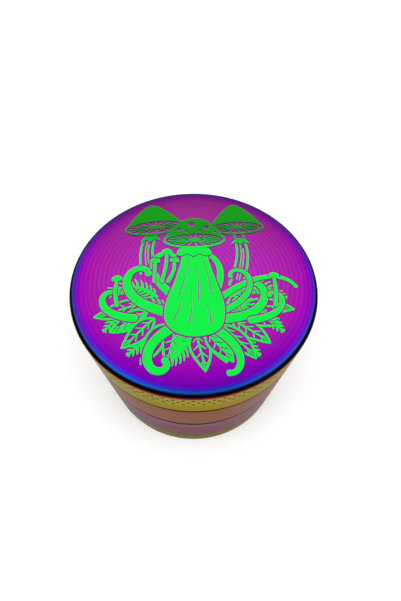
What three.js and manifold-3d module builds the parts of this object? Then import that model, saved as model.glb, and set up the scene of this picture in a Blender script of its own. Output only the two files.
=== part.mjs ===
// A four-piece hand grinder for herbs and spices, standing on its catch cup.
// Millimetres, +Z up, origin at the centre of the foot. Every piece is turned about Z.
//
// From the foot up: a catch cup, a chamber with a fine screen, a plate with teeth and
// drop holes, and a lid whose own teeth hang between those of the plate. The cup,
// chamber and plate screw together. The lid turns on the plate and two magnets hold it.

import * as THREE from 'three';
import { mergeVertices } from 'three/addons/utils/BufferGeometryUtils.js';
import Module from 'manifold-3d';

const wasm = await Module();
wasm.setup();

// ---------------------------------------------------------------- driving dimensions

const sides = 48;               // flats round every turned piece; a multiple of 4
const outerRadius = 31.5;

// The four bands and the hairline seams between them
const cupHeight = 8.3;
const chamberHeight = 15.7;
const plateHeight = 14.2;
const lidHeight = 11.5;
const seamGap = 0.1;
const seamChamfer = 0.35;

// Lid
const lidTopThickness = 3.1;
const lidSkirtWall = 2.2;
const crownDrop = 0.35;         // how far the soft bevel falls from the flat face
const crownWidth = 3;
const rimRadius = 1.1;          // tight round between the bevel and the side

// Plate
const collarWall = 1.8;
const turningClearance = 0.3;   // between the lid's skirt and the plate's collar
const plateFloorLift = 4.3;     // from the plate's shoulder up to the underside of its floor
const plateFloorThickness = 3;

// Teeth
const toothWidth = 2.7;         // across the teeth, along a radius
const toothLength = 4.4;        // along the direction of turning
const toothTipShare = 0.8;      // how much of the root's section is left at the tip
const toothRowGap = 0.9;        // between a lid row and a plate row
const toothSpacing = 6.6;       // between neighbours in a row
const plateToothHeight = 9;
const toothTipClearance = 1;    // from the lid's teeth down to the plate's floor
const dropHoleSpacing = 11;
const dropHoleMargin = 0.15;    // between a drop hole and the teeth beside it

// Magnets, and the boss and post that hold them
const magnetRadius = 4;
const magnetHeight = 3;
const pocketClearance = 0.1;
const pocketWall = 2.4;
const postHeight = 4.3;
const magnetAirGap = 0.4;       // between the boss and the post

// Nylon ring in the corner of the lid
const glideRingWidth = 1.7;
const glideRingHeight = 1.1;
const glideRingClearance = 0.15;

// Threads, right-handed
const threadPitch = 2;
const threadDepth = 0.8;
const threadRootWidth = 0.9;
const threadCrestWidth = 0.4;
const threadClearance = 0.3;    // between a crest and the wall it faces
const threadWall = 2.4;         // outside the female thread
const spigotLength = 4.4;
const spigotWall = 1.2;
const spigotFloorGap = 0.3;     // under a spigot's end

// Chamber, screen and its ring
const chamberWall = 3.7;
const ledgeWidth = 1.9;
const ledgeHeight = 2.3;
const screenThickness = 0.25;
const screenClearance = 0.15;
const screenRingWidth = 1.5;
const screenRingHeight = 1.3;

// Catch cup
const bowlWall = 4.1;
const bowlCorner = 1;
const cupFloorThickness = 1.1;
const footRingWidth = 9;
const footRecess = 0.3;
const footChamfer = 0.6;

// ------------------------------------------------------------------- worked out sizes

const turnStep = 2 * Math.PI / sides;

// Heights of the shoulders, from the foot up
const cupTop = cupHeight;
const chamberBottom = cupTop + seamGap;
const chamberTop = chamberBottom + chamberHeight;
const plateBottom = chamberTop + seamGap;
const plateTop = plateBottom + plateHeight;
const lidBottom = plateTop + seamGap;
const lidTop = lidBottom + lidHeight;

// Threaded joints
const femaleBore = outerRadius - threadWall;
const femaleCrest = femaleBore - threadDepth;
const maleCrest = femaleBore - threadClearance;
const maleCore = maleCrest - threadDepth;
const spigotBore = maleCore - spigotWall;

// Lid and collar
const skirtBore = outerRadius - lidSkirtWall;
const ceiling = lidTop - lidTopThickness;
const glideRingTop = ceiling - glideRingClearance;
const glideRingBottom = glideRingTop - glideRingHeight;
const collarRadius = skirtBore - turningClearance;
const collarBore = collarRadius - collarWall;
const collarTop = glideRingBottom - glideRingClearance;

// Plate floor, post and boss
const floorBottom = plateBottom + plateFloorLift;
const floorTop = floorBottom + plateFloorThickness;
const pocketRadius = magnetRadius + pocketClearance;
const pocketDepth = magnetHeight + 2 * pocketClearance;
const postRadius = pocketRadius + pocketWall;
const postTop = floorTop + postHeight;
const bossBottom = postTop + magnetAirGap;

// Rows of teeth, from the collar in to the post: plate, lid, plate, lid and so on
const rowPitch = toothWidth + toothRowGap;
const outermostRow = collarBore - toothRowGap - toothWidth / 2;
const innermostRow = postRadius + toothRowGap + toothWidth / 2;
const rows = [];
for (let radius = outermostRow; radius >= innermostRow; radius -= rowPitch) {
  rows.push(radius);
}
const plateRows = rows.filter((_, i) => i % 2 === 0);
const lidRows = rows.filter((_, i) => i % 2 === 1);
const dropHoleRadius = rowPitch - toothWidth / 2 - dropHoleMargin;

// Screen seat in the chamber's spigot
const spigotBottom = chamberBottom - spigotLength;
const ledgeTop = spigotBottom + ledgeHeight;
const ledgeBore = spigotBore - ledgeWidth;
const screenBottom = ledgeTop + screenClearance / 3;
const screenTop = screenBottom + screenThickness;
const screenRadius = spigotBore - screenClearance;
const screenRingBottom = screenTop + screenClearance / 3;
const screenRingTop = screenRingBottom + screenRingHeight;

// ---------------------------------------------------------------------------- helpers

// Makes a closed geometry into a solid: corners that meet are merged, and the flat
// triangles that a turned shape leaves on its axis are dropped.
function asSolid(geometry) {
  geometry.deleteAttribute('normal');
  geometry.deleteAttribute('uv');
  const merged = mergeVertices(geometry);
  const corners = merged.index.array;
  const triangles = [];
  for (let i = 0; i < corners.length; i += 3) {
    const [a, b, c] = [corners[i], corners[i + 1], corners[i + 2]];
    if (a !== b && b !== c && c !== a) triangles.push(a, b, c);
  }
  return new wasm.Manifold(new wasm.Mesh({
    numProp: 3,
    vertProperties: Float32Array.from(merged.getAttribute('position').array),
    triVerts: Uint32Array.from(triangles),
  }));
}

// Turns an outline of [radius, height] points about Z. The outline runs anticlockwise
// with the axis on its left, and starts and ends on the axis or at one point.
function turned(outline) {
  const points = outline.map(([radius, height]) => new THREE.Vector2(radius, height));
  const geometry = new THREE.LatheGeometry(points, sides);
  geometry.rotateX(Math.PI / 2);
  return asSolid(geometry);
}

// A ring with a rectangular section
function ring(inner, outer, bottom, top) {
  return turned([
    [inner, bottom],
    [outer, bottom],
    [outer, top],
    [inner, top],
    [inner, bottom],
  ]);
}

// A solid disc
function disc(radius, bottom, top) {
  return turned([
    [0, bottom],
    [radius, bottom],
    [radius, top],
    [0, top],
  ]);
}

// Points along an arc in an outline, both ends included. Angles in degrees from +radius.
function arc(centreRadius, centreHeight, radius, from, to, steps) {
  const points = [];
  for (let i = 0; i <= steps; i += 1) {
    const angle = THREE.MathUtils.degToRad(from + (to - from) * i / steps);
    points.push([
      centreRadius + radius * Math.cos(angle),
      centreHeight + radius * Math.sin(angle),
    ]);
  }
  return points;
}

// One tooth, a tapered diamond post that runs from its root to its tip
function tooth(radius, angle, root, tip) {
  const height = Math.abs(tip - root);
  const geometry = new THREE.CylinderGeometry(toothTipShare, 1, height, 4);
  geometry.scale(toothWidth / 2, 1, toothLength / 2);
  geometry.rotateX(tip > root ? Math.PI / 2 : -Math.PI / 2);
  geometry.translate(radius, 0, (root + tip) / 2);
  geometry.rotateZ(angle);
  return asSolid(geometry);
}

// Calls make(radius, angle) for each place in the given rows
function aroundRows(radii, spacing, make) {
  const made = [];
  for (const radius of radii) {
    const count = Math.floor(2 * Math.PI * radius / spacing);
    for (let i = 0; i < count; i += 1) {
      made.push(make(radius, 2 * Math.PI * i / count));
    }
  }
  return made;
}

// A thread ridge. Its section is extruded straight and then wound into a helix, with
// both ends faded into the wall. side is 1 on a spigot and -1 in a bore.
function threadRidge(rootRadius, side, bottom, top, startAngle) {
  const sunk = threadDepth / 2;
  const fadeSteps = 4;
  const rootHalf = threadRootWidth / 2;
  const crestHalf = threadCrestWidth / 2;
  const climb = top - bottom - threadRootWidth;
  const steps = Math.floor(climb / threadPitch * sides);
  const section = new THREE.Shape([
    new THREE.Vector2(-rootHalf, -sunk),
    new THREE.Vector2(rootHalf, -sunk),
    new THREE.Vector2(crestHalf, threadDepth),
    new THREE.Vector2(-crestHalf, threadDepth),
  ]);
  const geometry = new THREE.ExtrudeGeometry(section, {
    depth: steps,
    steps,
    bevelEnabled: false,
  });
  const position = geometry.getAttribute('position');
  for (let i = 0; i < position.count; i += 1) {
    const step = position.getZ(i);
    const toEnd = Math.min(step, steps - step) / fadeSteps;
    const proud = Math.max(position.getY(i), 0) * Math.min(toEnd, 1);
    const radius = rootRadius + side * (position.getY(i) < 0 ? -sunk : proud);
    const angle = startAngle + step * turnStep;
    const height = bottom + rootHalf + threadPitch * step / sides;
    position.setXYZ(
      i,
      radius * Math.cos(angle),
      radius * Math.sin(angle),
      height + side * position.getX(i),
    );
  }
  return asSolid(geometry);
}

// The pair of ridges that mesh in one threaded joint. The female ridge starts half a
// turn round, so it lies midway between the turns of the male one.
function spigotRidge(shoulder) {
  return threadRidge(maleCore, 1, shoulder - spigotLength + threadRootWidth / 2, shoulder, 0);
}

function boreRidge(shoulder) {
  return threadRidge(femaleBore, -1, shoulder - spigotLength + threadRootWidth / 2, shoulder,
    Math.PI);
}

function joined(first, others) {
  return others.reduce((whole, other) => whole.add(other), first);
}

// ----------------------------------------------------------------------------- pieces

function makeCatchCup() {
  const boreFloor = chamberBottom - spigotLength - spigotFloorGap;
  const bowlRadius = outerRadius - bowlWall;
  const footInner = outerRadius - footRingWidth;
  const bowlFloor = footRecess + cupFloorThickness;
  const body = turned([
    [0, footRecess],
    [footInner, footRecess],
    [footInner, 0],
    [outerRadius - footChamfer, 0],
    [outerRadius, footChamfer],
    [outerRadius, cupTop - seamChamfer],
    [outerRadius - seamChamfer, cupTop],
    [femaleBore, cupTop],
    [femaleBore, boreFloor],
    [bowlRadius, boreFloor],
    ...arc(bowlRadius - bowlCorner, bowlFloor + bowlCorner, bowlCorner, 0, -90, 3),
    [0, bowlFloor],
  ]);
  return body.add(boreRidge(cupTop));
}

function makeScreenChamber() {
  const boreFloor = plateBottom - spigotLength - spigotFloorGap;
  const chamberBore = outerRadius - chamberWall;
  const funnelTop = chamberBottom + chamberBore - spigotBore;
  const body = turned([
    [ledgeBore, spigotBottom],
    [maleCore - seamChamfer, spigotBottom],
    [maleCore, spigotBottom + seamChamfer],
    [maleCore, chamberBottom],
    [outerRadius - seamChamfer, chamberBottom],
    [outerRadius, chamberBottom + seamChamfer],
    [outerRadius, chamberTop - seamChamfer],
    [outerRadius - seamChamfer, chamberTop],
    [femaleBore, chamberTop],
    [femaleBore, boreFloor],
    [chamberBore, boreFloor],
    [chamberBore, funnelTop],
    [spigotBore, chamberBottom],
    [spigotBore, ledgeTop],
    [ledgeBore, ledgeTop],
    [ledgeBore, spigotBottom],
  ]);
  return joined(body, [spigotRidge(chamberBottom), boreRidge(chamberTop)]);
}

function makeToothPlate() {
  const spigotEnd = plateBottom - spigotLength;
  const body = turned([
    [0, floorBottom],
    [spigotBore, floorBottom],
    [spigotBore, spigotEnd],
    [maleCore - seamChamfer, spigotEnd],
    [maleCore, spigotEnd + seamChamfer],
    [maleCore, plateBottom],
    [outerRadius - seamChamfer, plateBottom],
    [outerRadius, plateBottom + seamChamfer],
    [outerRadius, plateTop - seamChamfer],
    [outerRadius - seamChamfer, plateTop],
    [collarRadius, plateTop],
    [collarRadius, collarTop - seamChamfer],
    [collarRadius - seamChamfer, collarTop],
    [collarBore, collarTop],
    [collarBore, floorTop],
    [postRadius, floorTop],
    [postRadius, postTop],
    [pocketRadius, postTop],
    [pocketRadius, postTop - pocketDepth],
    [0, postTop - pocketDepth],
  ]);
  const root = floorTop - plateFloorThickness / 4;
  const teeth = aroundRows(plateRows, toothSpacing, (radius, angle) =>
    tooth(radius, angle, root, floorTop + plateToothHeight));
  const holes = aroundRows(lidRows, dropHoleSpacing, (radius, angle) => {
    const drill = new THREE.CylinderGeometry(
      dropHoleRadius, dropHoleRadius, 2 * plateFloorThickness, 12);
    drill.rotateX(Math.PI / 2);
    drill.translate(radius, 0, (floorBottom + floorTop) / 2);
    drill.rotateZ(angle);
    return asSolid(drill);
  });
  const toothed = joined(body, [spigotRidge(plateBottom), ...teeth]);
  return holes.reduce((plate, hole) => plate.subtract(hole), toothed);
}

function makeLid() {
  const crownEdge = outerRadius - rimRadius;
  const rimCentre = lidTop - crownDrop - rimRadius;
  const body = turned([
    [0, bossBottom + pocketDepth],
    [pocketRadius, bossBottom + pocketDepth],
    [pocketRadius, bossBottom],
    [postRadius, bossBottom],
    [postRadius, ceiling],
    [skirtBore, ceiling],
    [skirtBore, lidBottom],
    [outerRadius - seamChamfer, lidBottom],
    [outerRadius, lidBottom + seamChamfer],
    ...arc(crownEdge, rimCentre, rimRadius, 0, 90, 5),
    [crownEdge - crownWidth, lidTop],
    [0, lidTop],
  ]);
  const root = ceiling + lidTopThickness / 4;
  const teeth = aroundRows(lidRows, toothSpacing, (radius, angle) =>
    tooth(radius, angle, root, floorTop + toothTipClearance));
  return joined(body, teeth);
}

function makeGlideRing() {
  const outer = skirtBore - glideRingClearance;
  return ring(outer - glideRingWidth, outer, glideRingBottom, glideRingTop);
}

// A magnet lies midway in its pocket
function makeMagnet(pocketBottom) {
  const bottom = pocketBottom + pocketClearance;
  return disc(magnetRadius, bottom, bottom + magnetHeight);
}

function makeMeshScreen() {
  return disc(screenRadius, screenBottom, screenTop);
}

function makeScreenRing() {
  return ring(screenRadius - screenRingWidth, screenRadius, screenRingBottom, screenRingTop);
}

// --------------------------------------------------------------------------- assembly

const grinder = new THREE.Group();

function addPiece(name, solid, color, metalness, roughness) {
  const { vertProperties, triVerts } = solid.getMesh();
  const geometry = new THREE.BufferGeometry();
  geometry.setAttribute('position', new THREE.BufferAttribute(vertProperties, 3));
  geometry.setIndex(new THREE.BufferAttribute(triVerts, 1));
  geometry.computeVertexNormals();
  const material = new THREE.MeshStandardMaterial({ color, metalness, roughness });
  const mesh = new THREE.Mesh(geometry, material);
  mesh.name = name;
  grinder.add(mesh);
}

addPiece('catch_cup', makeCatchCup(), 0x6e663f, 0.9, 0.35);
addPiece('mesh_screen', makeMeshScreen(), 0xb8bcc0, 0.9, 0.4);
addPiece('screen_ring', makeScreenRing(), 0xc8ccd0, 0.9, 0.3);
addPiece('screen_chamber', makeScreenChamber(), 0x744b5d, 0.9, 0.35);
addPiece('tooth_plate', makeToothPlate(), 0x8a5c45, 0.9, 0.35);
addPiece('plate_magnet', makeMagnet(postTop - pocketDepth), 0xd8d9dc, 1, 0.2);
addPiece('glide_ring', makeGlideRing(), 0xe9e7df, 0, 0.5);
addPiece('lid', makeLid(), 0xa0129f, 0.9, 0.3);
addPiece('lid_magnet', makeMagnet(bossBottom), 0xd8d9dc, 1, 0.2);

export default grinder;
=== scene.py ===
# %% [markdown]
# # A rainbow-coated hand grinder
#
# The grinder is a stack of turned metal pieces: a decorated lid, a plate with teeth, a
# chamber with a woven screen, and a catch cup. A thin oxide coat gives each piece its own
# play of colour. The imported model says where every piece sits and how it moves. This
# script makes the fine surfaces that replace its plain solids, in the same frame.
#
# It is written as a lesson. Each piece or finish starts with a note on what it is and why
# it is made this way. Lengths are in metres, and `MM` turns millimetres into metres.

# %% Load the frame
from math import atan2, cos, pi, radians, sin

import bmesh
import bpy
import numpy as np
from mathutils import Euler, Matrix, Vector


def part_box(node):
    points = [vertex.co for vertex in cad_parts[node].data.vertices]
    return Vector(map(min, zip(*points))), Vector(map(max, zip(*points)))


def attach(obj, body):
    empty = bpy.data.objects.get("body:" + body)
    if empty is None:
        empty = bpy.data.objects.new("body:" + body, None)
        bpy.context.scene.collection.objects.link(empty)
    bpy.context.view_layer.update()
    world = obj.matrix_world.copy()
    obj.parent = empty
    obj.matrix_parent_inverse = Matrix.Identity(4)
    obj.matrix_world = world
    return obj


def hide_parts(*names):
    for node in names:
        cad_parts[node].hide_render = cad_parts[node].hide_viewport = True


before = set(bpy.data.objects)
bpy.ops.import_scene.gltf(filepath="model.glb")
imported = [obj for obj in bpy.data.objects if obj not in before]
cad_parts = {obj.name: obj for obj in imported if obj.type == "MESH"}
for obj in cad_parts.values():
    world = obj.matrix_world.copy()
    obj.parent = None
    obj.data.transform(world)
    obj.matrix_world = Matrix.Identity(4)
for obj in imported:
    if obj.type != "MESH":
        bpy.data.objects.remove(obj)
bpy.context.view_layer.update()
MM = 0.001

# %% [markdown]
# ## Sizes
#
# The frame's boxes give the outer radius and the heights where pieces meet. The walls and
# bores inside are named here once, so a collar and the skirt round it, or two threads that
# mesh, always come from the same value. Every piece is turned about the Z axis.

# %% Sizes from the frame
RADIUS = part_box("lid")[1][0]
LID_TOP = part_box("lid")[1][2]
LID_TEETH_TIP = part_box("lid")[0][2]
COLLAR_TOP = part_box("tooth_plate")[1][2]
CHAMBER_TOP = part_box("screen_chamber")[1][2]
CUP_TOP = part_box("catch_cup")[1][2]
SEAM = 0.1 * MM
LID_BOTTOM = LID_TOP - 11.5 * MM
PLATE_TOP = LID_BOTTOM - SEAM
PLATE_BOTTOM = CHAMBER_TOP + SEAM
CHAMBER_BOTTOM = CUP_TOP + SEAM
print("radius", round(RADIUS / MM, 2), "height", round(LID_TOP / MM, 2))

# %% Walls, bores and pockets
EDGE = 0.35 * MM
SKIRT_BORE = RADIUS - 2.2 * MM
COLLAR_RADIUS = SKIRT_BORE - 0.3 * MM
COLLAR_BORE = COLLAR_RADIUS - 1.8 * MM
CEILING = LID_TOP - 3.1 * MM
FLOOR_BOTTOM = PLATE_BOTTOM + 4.3 * MM
FLOOR_TOP = FLOOR_BOTTOM + 3.0 * MM
POCKET_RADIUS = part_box("lid_magnet")[1][0] + 0.1 * MM
POCKET_DEPTH = 3.2 * MM
POST_RADIUS = POCKET_RADIUS + 2.4 * MM
POST_TOP = FLOOR_TOP + 4.3 * MM
BOSS_BOTTOM = POST_TOP + 0.4 * MM
CROWN_DROP = 0.35 * MM
CROWN_WIDTH = 3.0 * MM
RIM_RADIUS = 1.1 * MM
CROWN_EDGE = RADIUS - RIM_RADIUS
RIM_CENTRE = LID_TOP - CROWN_DROP - RIM_RADIUS
SCREEN_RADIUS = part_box("mesh_screen")[1][0]
SCREEN_MIDDLE = (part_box("mesh_screen")[0][2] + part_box("mesh_screen")[1][2]) / 2

# %% Threads and teeth
THREAD_PITCH = 2.0 * MM
THREAD_DEPTH = 0.8 * MM
THREAD_ROOT = 0.9 * MM
THREAD_CREST = 0.4 * MM
FEMALE_BORE = RADIUS - 2.4 * MM
MALE_CORE = FEMALE_BORE - 0.3 * MM - THREAD_DEPTH
SPIGOT_BORE = MALE_CORE - 1.2 * MM
SPIGOT_LENGTH = 4.4 * MM
BORE_LENGTH = SPIGOT_LENGTH + 0.3 * MM
TOOTH_WIDTH = 2.7 * MM
TOOTH_LENGTH = 4.4 * MM
TOOTH_SPACING = 6.6 * MM
ROW_PITCH = TOOTH_WIDTH + 0.9 * MM
ROWS = [COLLAR_BORE - 0.9 * MM - TOOTH_WIDTH / 2 - i * ROW_PITCH for i in range(5)]
PLATE_ROWS, LID_ROWS = ROWS[0::2], ROWS[1::2]
HOLE_RADIUS = ROW_PITCH - TOOTH_WIDTH / 2 - 0.15 * MM
HOLE_SPACING = 11.0 * MM
print("rows of teeth at", [round(r / MM, 2) for r in ROWS])

# %% [markdown]
# ## Camera
#
# The grinder is seen from above through a wide lens close to it, so the lid looks large
# and the body narrows below it. The distance is a multiple of the radius, which keeps that
# strong perspective whatever the size. The aim is a pitch angle rather than a target, so
# the object sits a little left of the middle with only a slight lens shift.

# %% Camera
CAMERA_DISTANCE = 2.6659 * RADIUS
CAMERA_ELEVATION = radians(53.79)
CAMERA_PITCH = radians(58.04)
WIDE_LENS = 19.436
SIDE_SHIFT = 0.0115

camera_data = bpy.data.cameras.new("camera")
camera_data.lens = WIDE_LENS
camera_data.sensor_width = 36.0
camera_data.shift_x = SIDE_SHIFT
camera_data.clip_start = 5 * MM
camera = bpy.data.objects.new("camera", camera_data)
camera.location = (
    0.0,
    -CAMERA_DISTANCE * cos(CAMERA_ELEVATION),
    RIM_CENTRE + EDGE + CAMERA_DISTANCE * sin(CAMERA_ELEVATION),
)
camera.rotation_euler = Euler((pi / 2 - CAMERA_PITCH, 0.0, 0.0))
scene = bpy.context.scene
scene.collection.objects.link(camera)
scene.camera = camera
print("camera at", [round(v, 4) for v in camera.location])

# %% [markdown]
# ## Light
#
# Polished metal shows whatever surrounds it, so the grinder stands inside a tent of even
# white. Two wide soft panels are only a little brighter than the tent, enough for a gentle
# sheen. The standard view transform keeps the coat's strong colours, which a filmic one
# would grey.

# %% Tent and soft panels
scene.view_settings.view_transform = "Standard"
world = bpy.data.worlds.new("light_tent")
scene.world = world
world.use_nodes = True
tent = world.node_tree.nodes["Background"]
tent.inputs["Color"].default_value = (1.0, 1.0, 1.0, 1.0)
tent.inputs["Strength"].default_value = 0.97


def soft_panel(name, place, size, power):
    data = bpy.data.lights.new(name, "AREA")
    data.shape = "DISK"
    data.size = size
    data.energy = power
    panel = bpy.data.objects.new(name, data)
    panel.location = place
    aim = Vector((0.0, 0.0, LID_TOP / 2)) - Vector(place)
    panel.rotation_euler = aim.to_track_quat("-Z", "Y").to_euler()
    scene.collection.objects.link(panel)


for panel_name, panel_place in (("key_panel", (-0.30, -0.18, 0.44)),
                                ("fill_panel", (0.36, -0.16, 0.38))):
    soft_panel(panel_name, panel_place, size=0.50, power=0.75)

# %% [markdown]
# ## Node helpers
#
# Every finish is a small tree of nodes. Written link by link, a tree hides its idea, so
# these helpers add a node, set its inputs and link what it reads in one call. A colour is
# written as it looks on a screen, 0 to 255, and is turned into linear light here.


# %% Helpers for trees
def linear(red, green, blue):
    shares = [value / 255 for value in (red, green, blue)]
    return (*[s / 12.92 if s <= 0.04045 else ((s + 0.055) / 1.055) ** 2.4 for s in shares], 1.0)


def feed(node, inputs):
    """Links what comes from another node, and sets every other value"""
    for key, value in inputs.items():
        if isinstance(value, bpy.types.NodeSocket):
            node.id_data.links.new(value, node.inputs[key])
        else:
            node.inputs[key].default_value = value


def put(tree, kind, inputs=None, **settings):
    """Adds a node, sets its settings, and feeds its inputs"""
    node = tree.nodes.new(kind)
    for key, value in settings.items():
        setattr(node, key, value)
    feed(node, inputs or {})
    return node


def calc(tree, operation, *values):
    return put(tree, "ShaderNodeMath", dict(enumerate(values)), operation=operation).outputs[0]


def vector(tree, x=0.0, y=0.0, z=0.0):
    return put(tree, "ShaderNodeCombineXYZ", {0: x, 1: y, 2: z}).outputs[0]


def remap(tree, value, low, high, smooth=False):
    """0 where value is low and 1 where it is high, held beyond both"""
    kind = "SMOOTHSTEP" if smooth else "LINEAR"
    inputs = {"Value": value, "From Min": low, "From Max": high}
    return put(tree, "ShaderNodeMapRange", inputs, interpolation_type=kind).outputs[0]


def ramp(tree, factor, stops):
    """A colour ramp through (position, screen colour) pairs"""
    node = put(tree, "ShaderNodeValToRGB", {"Fac": factor})
    elements = node.color_ramp.elements
    elements.remove(elements[1])
    elements[0].position = stops[0][0]
    elements[0].color = linear(*stops[0][1])
    for position, colour in stops[1:]:
        elements.new(position).color = linear(*colour)
    return node.outputs["Color"]


def mix(tree, factor, first, second):
    """first where factor is 0 and second where it is 1"""
    inputs = {0: factor, 6: first, 7: second}
    return put(tree, "ShaderNodeMix", inputs, data_type="RGBA").outputs[2]


def new_group(name, kind, inputs, outputs=()):
    """A node group with named sockets. An input is (name, kind, value) or (name, kind)"""
    tree = bpy.data.node_groups.new(name, kind)
    for label, socket, *value in inputs:
        made = tree.interface.new_socket(label, in_out="INPUT", socket_type="NodeSocket" + socket)
        if value:
            made.default_value = value[0]
    for label, socket in outputs:
        tree.interface.new_socket(label, in_out="OUTPUT", socket_type="NodeSocket" + socket)
    return tree, put(tree, "NodeGroupInput").outputs


def polar(tree, angle, radius, height=0.0):
    """The point at an angle and a radius round Z"""
    x = calc(tree, "MULTIPLY", calc(tree, "COSINE", angle), radius)
    y = calc(tree, "MULTIPLY", calc(tree, "SINE", angle), radius)
    return vector(tree, x, y, height)


def noise_at(tree, scale, detail):
    """Noise by place on the object"""
    place = put(tree, "ShaderNodeTexCoord").outputs["Object"]
    inputs = {"Vector": place, "Scale": scale, "Detail": detail}
    return put(tree, "ShaderNodeTexNoise", inputs).outputs["Fac"]


def grain(tree, scale, strength):
    """A fine unevenness, as the normal it gives"""
    return put(tree, "ShaderNodeBump", {
        "Height": noise_at(tree, scale, 3.0), "Distance": 0.02 * MM, "Strength": strength}).outputs[0]


def new_material(name):
    """A new material, its tree and its shader"""
    material = bpy.data.materials.new(name)
    material.use_nodes = True
    return material, material.node_tree, material.node_tree.nodes["Principled BSDF"]


def round_place(tree):
    """The place on a turned piece: radius from the axis, and X, Y and Z"""
    place = put(tree, "ShaderNodeTexCoord").outputs["Object"]
    axes = put(tree, "ShaderNodeSeparateXYZ", {0: place}).outputs
    flat = vector(tree, axes[0], axes[1])
    radius = put(tree, "ShaderNodeVectorMath", {0: flat}, operation="LENGTH").outputs["Value"]
    return radius, axes


# %% [markdown]
# ## Lathe marks, their painted sheen, and handling
#
# A lathe tool leaves fine rings on every face it cuts. All the metal pieces share them, so
# they are one node group of lathe marks and their painted sheen. Its rings run along radius
# minus height, which rings a flat face and bands an upright wall with the same nodes. The
# rings also lighten and darken the colour most at the two sides, less at the back and least
# in front: a painted sheen, as fans where they would face the light. A second group,
# `handling`, gives the faint rubbed patches that fingers leave, as a change of roughness and
# shade.


# %% Group: lathe marks and their painted sheen
def lathe_marks_and_sheen_group():
    inputs = [("Ring Pitch", "Float", 1.1 * MM), ("Fan", "Float", 1.0)]
    tree, given = new_group("lathe_marks_and_sheen", "ShaderNodeTree", inputs,
                            [("Height", "Float"), ("Shade", "Float")])
    radius, axes = round_place(tree)
    along = calc(tree, "SUBTRACT", radius, axes[2])
    turns = calc(tree, "MULTIPLY", along, 2 * pi)
    rings = calc(tree, "SINE", calc(tree, "DIVIDE", turns, given["Ring Pitch"]))
    # The fan: rings show most at both sides, less at the back and least in front, in the bump and as
    # painted sheen in the colour
    off_axis = calc(tree, "MAXIMUM", radius, MM)
    side = calc(tree, "DIVIDE", calc(tree, "ABSOLUTE", axes[0]), off_axis)
    back = calc(tree, "DIVIDE", axes[1], off_axis)
    least = calc(tree, "MULTIPLY_ADD", back, 0.25, 0.4)
    fan = calc(tree, "MULTIPLY_ADD", calc(tree, "POWER", side, 3.0), given["Fan"], least)
    # Fine tool lines: noise that changes fast across the rings and slowly along them
    streak = vector(tree, *[calc(tree, "MULTIPLY", value, scale) for value, scale in (
        (along, 7000.0), (axes[0], 50.0), (axes[1], 50.0))])
    noise = put(tree, "ShaderNodeTexNoise", {"Vector": streak, "Scale": 1.0, "Detail": 2.0})
    fine = calc(tree, "SUBTRACT", noise.outputs["Fac"], 0.5)
    # A last fine cut left the outer walls much smoother than the faces
    outer_wall = remap(tree, radius, RADIUS - 1.5 * MM, RADIUS - 0.5 * MM)
    calm = calc(tree, "MULTIPLY_ADD", outer_wall, -0.75, 1.0)
    wave = calc(tree, "MULTIPLY", calc(tree, "MULTIPLY", rings, fan), calm)
    height = calc(tree, "ADD", wave, fine)
    # Shade is the tool lines' tone plus the rings' painted sheen
    shade = calc(tree, "MULTIPLY_ADD", fine, 1.2, calc(tree, "MULTIPLY", wave, 0.6))
    put(tree, "NodeGroupOutput", {"Height": height, "Shade": shade})
    return tree


# %% Group: handling
def handling_group():
    inputs = [("Roughness", "Float", 0.3), ("Patch Scale", "Float", 90.0)]
    tree, given = new_group("handling", "ShaderNodeTree", inputs,
                            [("Roughness", "Float"), ("Shade", "Float")])
    patch = calc(tree, "SUBTRACT", noise_at(tree, given["Patch Scale"], 4.0), 0.5)
    rough = calc(tree, "MULTIPLY_ADD", patch, 0.1, given["Roughness"])
    put(tree, "NodeGroupOutput", {"Roughness": rough, "Shade": patch})
    return tree


LATHE_MARKS_AND_SHEEN = lathe_marks_and_sheen_group()
HANDLING = handling_group()
print("groups:", LATHE_MARKS_AND_SHEEN.name, HANDLING.name)


# %% A turned finish around any colour
def turned_finish(name, colour, roughness=0.3, edge_tint=(0.6, 0.55, 0.5), ring_pitch=1.1 * MM,
                  ring_shade=0.1, ring_depth=0.012 * MM, fan=1.0):
    """colour(tree, radius, axes) returns the coat's colour by its place on the piece"""
    material, tree, shader = new_material(name)
    radius, axes = round_place(tree)
    marks = put(tree, "ShaderNodeGroup", {"Ring Pitch": ring_pitch, "Fan": fan}, node_tree=LATHE_MARKS_AND_SHEEN)
    hands = put(tree, "ShaderNodeGroup", {"Roughness": roughness}, node_tree=HANDLING)
    # The lathe shade carries the rings' painted sheen into the colour; the handling shade is rubbed wear
    shade = calc(tree, "MULTIPLY_ADD", marks.outputs["Shade"], ring_shade, 1.0)
    value = calc(tree, "MULTIPLY_ADD", hands.outputs["Shade"], 0.10, shade)
    coat = put(tree, "ShaderNodeHueSaturation",
               {"Color": colour(tree, radius, axes), "Value": value}).outputs[0]
    relief = put(tree, "ShaderNodeBump", {"Height": marks.outputs["Height"], "Distance": ring_depth})
    feed(shader, {
        "Base Color": coat, "Metallic": 1.0, "Specular Tint": (*edge_tint, 1.0),
        "Roughness": hands.outputs["Roughness"], "Normal": relief.outputs["Normal"]})
    return material
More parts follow.
